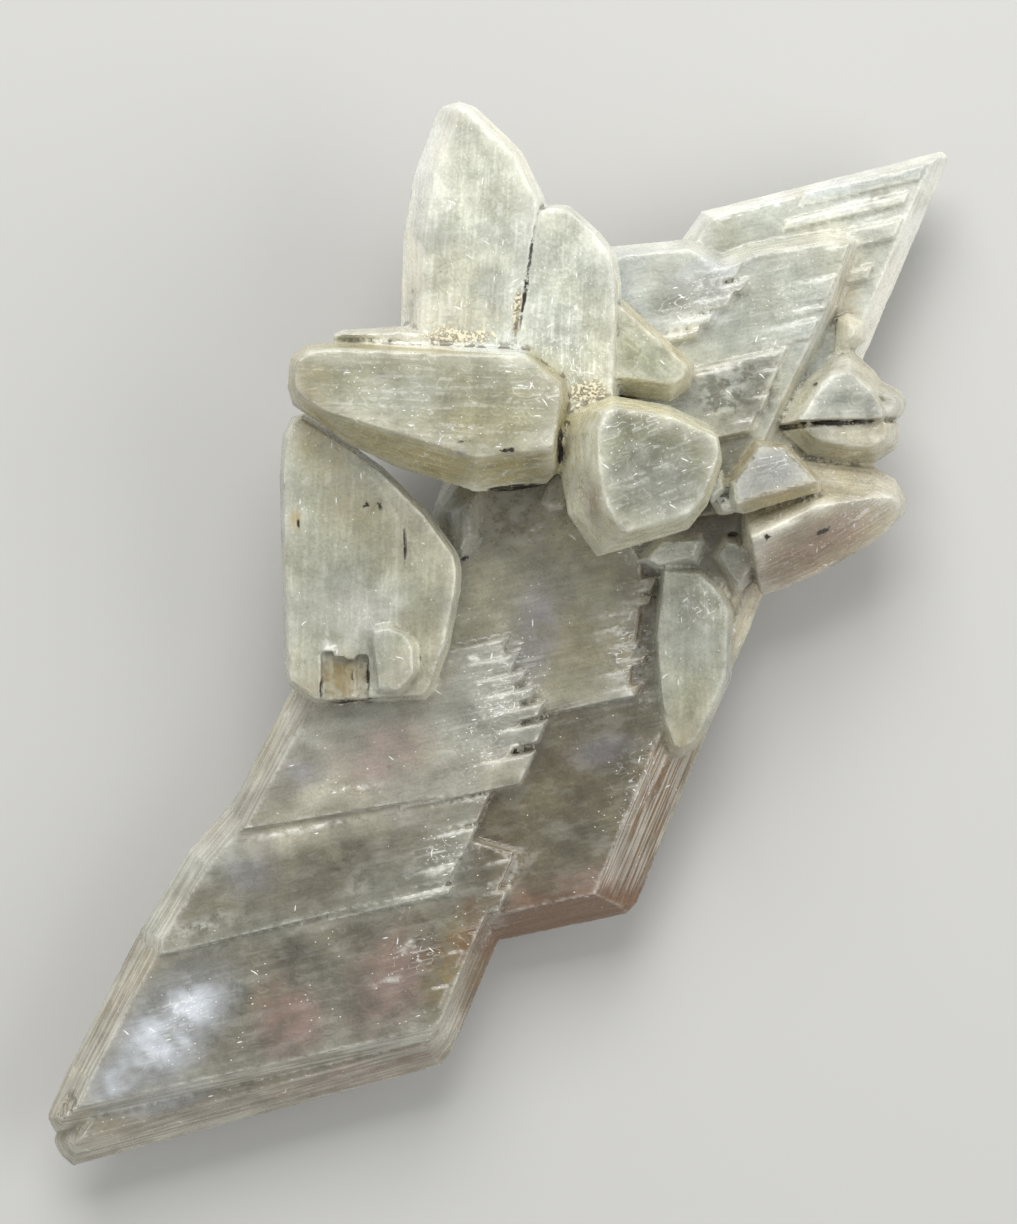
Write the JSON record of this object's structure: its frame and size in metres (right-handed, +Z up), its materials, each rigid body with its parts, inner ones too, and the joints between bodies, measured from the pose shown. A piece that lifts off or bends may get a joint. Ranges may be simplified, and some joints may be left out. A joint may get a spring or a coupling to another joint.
{
  "type": "selenite crystal cluster",
  "caption": "Cluster of intergrown, translucent selenite blades: long flat plates with shorter blades radiating above them. A display specimen that lies flat on its back.",
  "frame": {"origin": "under the middle of the bounding box, on the surface that the cluster lies on", "axes": "+Y along the overall length, towards the tall blade's tip; +Z straight up from the surface, through the thickness; +X towards the bright tip at the upper right"},
  "size_m": [0.0912, 0.1066, 0.0345],
  "materials": {
    "selenite": "frosted, cloudy crystal with fine growth lines"
  },
  "bodies": {
    "root": {"selenite_cluster": "selenite"}
  },
  "joints": []
}
